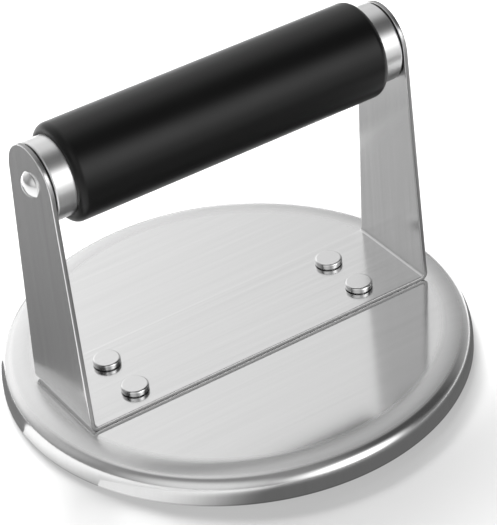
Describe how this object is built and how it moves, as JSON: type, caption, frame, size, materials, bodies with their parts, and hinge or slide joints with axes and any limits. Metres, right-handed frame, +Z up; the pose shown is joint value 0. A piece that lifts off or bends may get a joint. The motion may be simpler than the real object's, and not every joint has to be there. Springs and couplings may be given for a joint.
{
  "type": "meat press",
  "caption": "Round stainless meat press: heavy capped plate, bent steel bracket riveted across it, black grip between steel ferrules.",
  "frame": {"origin": "centre of the press face, on the surface that the press stands on", "axes": "+Z up along the plate's axis, +X along the grip, +Y across it to the back"},
  "size_m": [0.155, 0.155, 0.1105],
  "materials": {
    "press_steel": "fine turned",
    "core_aluminium": "as cast",
    "plain_steel": "mill",
    "brushed_steel": "brushed along the grip, round rim brushed along the rim",
    "bracket_steel": "brushed along the strip",
    "polished_steel": "polished",
    "ferrule_steel": "polished, fine turning lines",
    "black_grip": "satin moulded"
  },
  "bodies": {
    "root": {"press_disc": "press_steel", "core_plate": "core_aluminium", "backing_strip": "plain_steel", "top_shell": "brushed_steel", "handle_bracket": "bracket_steel", "rivet_front_left": "polished_steel", "rivet_front_right": "polished_steel", "rivet_back_left": "polished_steel", "rivet_back_right": "polished_steel", "spacer_tube": "plain_steel", "tie_rod": "polished_steel", "washer_left": "plain_steel", "washer_right": "plain_steel", "ferrule_left": "ferrule_steel", "ferrule_right": "ferrule_steel", "grip": "black_grip"}
  },
  "joints": []
}
